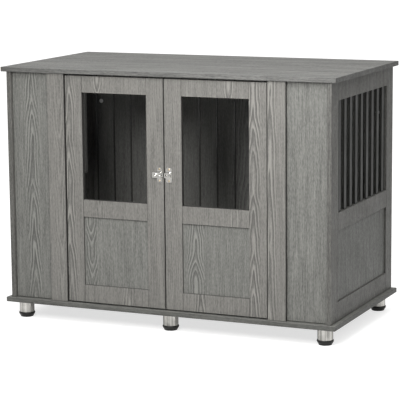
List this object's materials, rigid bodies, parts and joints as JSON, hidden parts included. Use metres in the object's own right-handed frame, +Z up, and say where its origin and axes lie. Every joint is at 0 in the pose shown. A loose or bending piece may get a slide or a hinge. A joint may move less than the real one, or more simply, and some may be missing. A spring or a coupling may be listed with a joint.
{
  "type": "dog crate end table",
  "caption": "Wooden dog crate under a table top, with outward doors on pivot pins, a slide-bolt latch, slatted side windows and levelling feet.",
  "frame": {"origin": "on the floor under the middle of the table", "axes": "+Z up, +X along the table's length to the right, the doors face -Y"},
  "size_m": [1.15, 0.609, 0.831],
  "materials": {
    "wood_laminate": "matt wood-grain laminate",
    "inner_laminate": "matt wood-grain laminate",
    "slat_paint": "satin dark grey paint",
    "chrome_latch": "bright chrome",
    "foot_steel": "brushed",
    "pivot_steel": "zinc plated",
    "foot_plastic": "moulded black plastic"
  },
  "bodies": {
    "cabinet": {"top_panel": "wood_laminate", "base_panel": "wood_laminate", "rear_panel": "inner_laminate", "side_frame_left": "wood_laminate", "side_inset_left": "wood_laminate", "slat_left_1": "slat_paint", "slat_left_2": "slat_paint", "slat_left_3": "slat_paint", "slat_left_4": "slat_paint", "slat_left_5": "slat_paint", "slat_left_6": "slat_paint", "slat_left_7": "slat_paint", "slat_left_8": "slat_paint", "slat_left_9": "slat_paint", "post_left": "wood_laminate", "front_panel_left": "wood_laminate", "left_door_pivot_bottom": "pivot_steel", "left_door_pivot_top": "pivot_steel", "side_frame_right": "wood_laminate", "side_inset_right": "wood_laminate", "slat_right_1": "slat_paint", "slat_right_2": "slat_paint", "slat_right_3": "slat_paint", "slat_right_4": "slat_paint", "slat_right_5": "slat_paint", "slat_right_6": "slat_paint", "slat_right_7": "slat_paint", "slat_right_8": "slat_paint", "slat_right_9": "slat_paint", "post_right": "wood_laminate", "front_panel_right": "wood_laminate", "right_door_pivot_bottom": "pivot_steel", "right_door_pivot_top": "pivot_steel", "foot_tube_front_left": "foot_steel", "foot_tube_front_middle": "foot_steel", "foot_tube_front_right": "foot_steel", "foot_tube_rear_left": "foot_steel", "foot_tube_rear_middle": "foot_steel", "foot_tube_rear_right": "foot_steel"},
    "left_door": {"left_door_hinge_stile": "wood_laminate", "left_door_meeting_stile": "wood_laminate", "left_door_bottom_rail": "wood_laminate", "left_door_middle_rail": "wood_laminate", "left_door_top_rail": "wood_laminate", "left_door_inset": "wood_laminate", "latch_case": "chrome_latch"},
    "right_door": {"right_door_hinge_stile": "wood_laminate", "right_door_meeting_stile": "wood_laminate", "right_door_bottom_rail": "wood_laminate", "right_door_middle_rail": "wood_laminate", "right_door_top_rail": "wood_laminate", "right_door_inset": "wood_laminate", "latch_keeper": "chrome_latch"},
    "latch_bolt": {"latch_bolt": "chrome_latch"},
    "foot_front_left": {"foot_base_front_left": "foot_plastic"},
    "foot_front_middle": {"foot_base_front_middle": "foot_plastic"},
    "foot_front_right": {"foot_base_front_right": "foot_plastic"},
    "foot_rear_left": {"foot_base_rear_left": "foot_plastic"},
    "foot_rear_middle": {"foot_base_rear_middle": "foot_plastic"},
    "foot_rear_right": {"foot_base_rear_right": "foot_plastic"}
  },
  "joints": [
    {"name": "left_door_hinge", "type": "hinge", "parent": "cabinet", "child": "left_door", "pos_m": [-0.3355, -0.284, 0.442], "axis": [0, 0, -1], "range_deg": [0, 110]},
    {"name": "right_door_hinge", "type": "hinge", "parent": "cabinet", "child": "right_door", "pos_m": [0.3355, -0.284, 0.442], "axis": [0, 0, 1], "range_deg": [0, 110]},
    {"name": "latch_slide", "type": "slide", "parent": "left_door", "child": "latch_bolt", "axis": [1, 0, 0], "range_m": [0, 0.013]},
    {"name": "foot_front_left_level", "type": "slide", "parent": "cabinet", "child": "foot_front_left", "axis": [0, 0, -1], "range_m": [0, 0.01]},
    {"name": "foot_front_middle_level", "type": "slide", "parent": "cabinet", "child": "foot_front_middle", "axis": [0, 0, -1], "range_m": [0, 0.01]},
    {"name": "foot_front_right_level", "type": "slide", "parent": "cabinet", "child": "foot_front_right", "axis": [0, 0, -1], "range_m": [0, 0.01]},
    {"name": "foot_rear_left_level", "type": "slide", "parent": "cabinet", "child": "foot_rear_left", "axis": [0, 0, -1], "range_m": [0, 0.01]},
    {"name": "foot_rear_middle_level", "type": "slide", "parent": "cabinet", "child": "foot_rear_middle", "axis": [0, 0, -1], "range_m": [0, 0.01]},
    {"name": "foot_rear_right_level", "type": "slide", "parent": "cabinet", "child": "foot_rear_right", "axis": [0, 0, -1], "range_m": [0, 0.01]}
  ]
}
